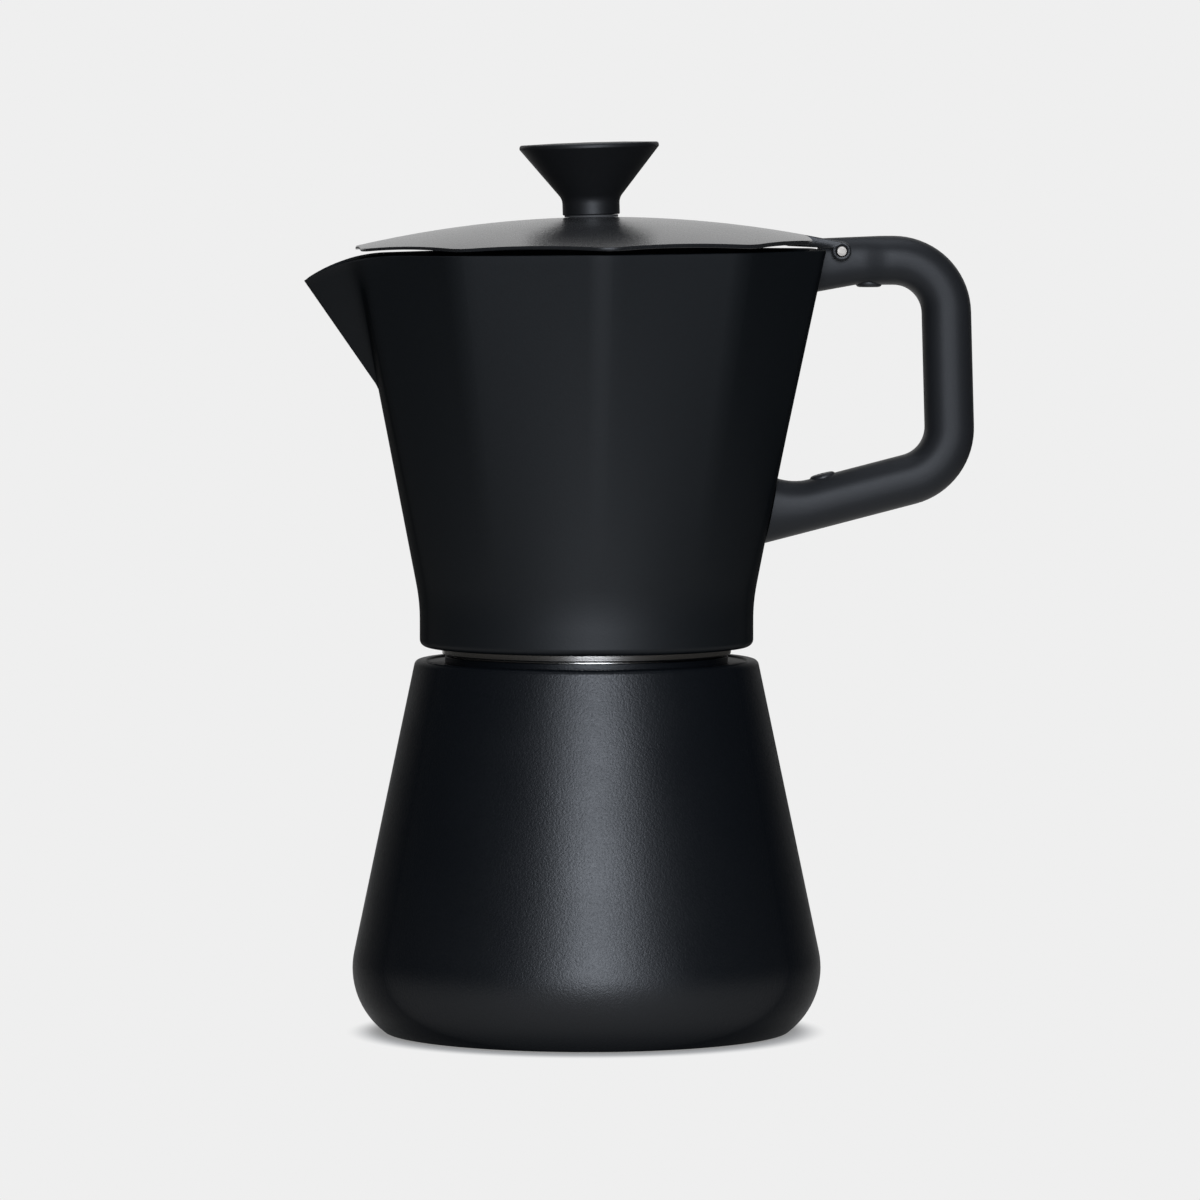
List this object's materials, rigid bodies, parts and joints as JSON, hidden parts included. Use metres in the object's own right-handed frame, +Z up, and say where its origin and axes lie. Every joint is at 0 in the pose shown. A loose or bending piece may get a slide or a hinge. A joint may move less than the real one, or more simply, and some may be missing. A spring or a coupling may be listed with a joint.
{
  "type": "stovetop moka pot",
  "caption": "Stovetop coffee maker: round boiler, faceted collector with pouring beak, hinged lid with knob, loop handle, and a screw joint that opens it for filling.",
  "frame": {"origin": "centre of the flat underside that stands on the stove", "axes": "+Z up along the pot's axis, +X towards the handle, -X towards the pouring beak, +Y towards the safety valve"},
  "size_m": [0.1504, 0.1132, 0.1997],
  "materials": {
    "powder_coat": "matt black fine-grained powder coat over steel sheet",
    "bare_steel": "bare turned stainless steel",
    "valve_brass": "turned brass, satin",
    "silicone": "soft white silicone",
    "handle_black": "heat-resistant moulded resin, fine matt grain"
  },
  "bodies": {
    "boiler": {"boiler_shell": "powder_coat", "boiler_neck": "bare_steel", "base_disc": "bare_steel", "valve_body": "valve_brass", "valve_washer": "silicone", "valve_nut": "valve_brass", "valve_cap": "valve_brass", "valve_spring": "bare_steel"},
    "valve_stem": {"valve_stem": "bare_steel"},
    "funnel": {"funnel_basket": "bare_steel", "funnel_tube": "bare_steel", "basket_strainer": "bare_steel"},
    "gasket": {"gasket": "silicone"},
    "filter_plate": {"filter_plate": "bare_steel"},
    "collector": {"collector_shell": "powder_coat", "thread_collar": "bare_steel", "collector_floor": "bare_steel", "riser_column": "bare_steel", "upper_bracket": "bare_steel", "lower_bracket": "bare_steel", "handle": "handle_black", "handle_screws": "powder_coat", "hinge_pin": "bare_steel"},
    "lid": {"lid": "powder_coat", "knob_washer": "silicone", "knob": "handle_black", "knob_screw": "bare_steel"}
  },
  "joints": [
    {"name": "valve_lift", "type": "slide", "parent": "boiler", "child": "valve_stem", "axis": [0, 0.9786, 0.2057], "range_m": [0, 0.0015], "stiffness_N_per_m": 400, "deforming": ["valve_spring"]},
    {"name": "funnel_lift", "type": "slide", "parent": "boiler", "child": "funnel", "axis": [0, 0, 1], "range_m": [0, 0.09]},
    {"name": "collector_lift", "type": "slide", "parent": "funnel", "child": "gasket", "axis": [0, 0, 1], "range_m": [0, 0.08]},
    {"name": "thread_rise", "type": "slide", "parent": "gasket", "child": "filter_plate", "axis": [0, 0, 1], "range_m": [0, 0.0061]},
    {"name": "collector_turn", "type": "hinge", "parent": "filter_plate", "child": "collector", "pos_m": [0, 0, 0.0905], "axis": [0, 0, 1], "range_deg": [0, 540]},
    {"name": "lid_hinge", "type": "hinge", "parent": "collector", "child": "lid", "pos_m": [0.05675, 0, 0.1751], "axis": [0, 1, 0], "range_deg": [0, 95]}
  ],
  "couplings": [
    {"joint": "thread_rise", "follows": "collector_turn", "m_per_rad": 0.00063662}
  ]
}
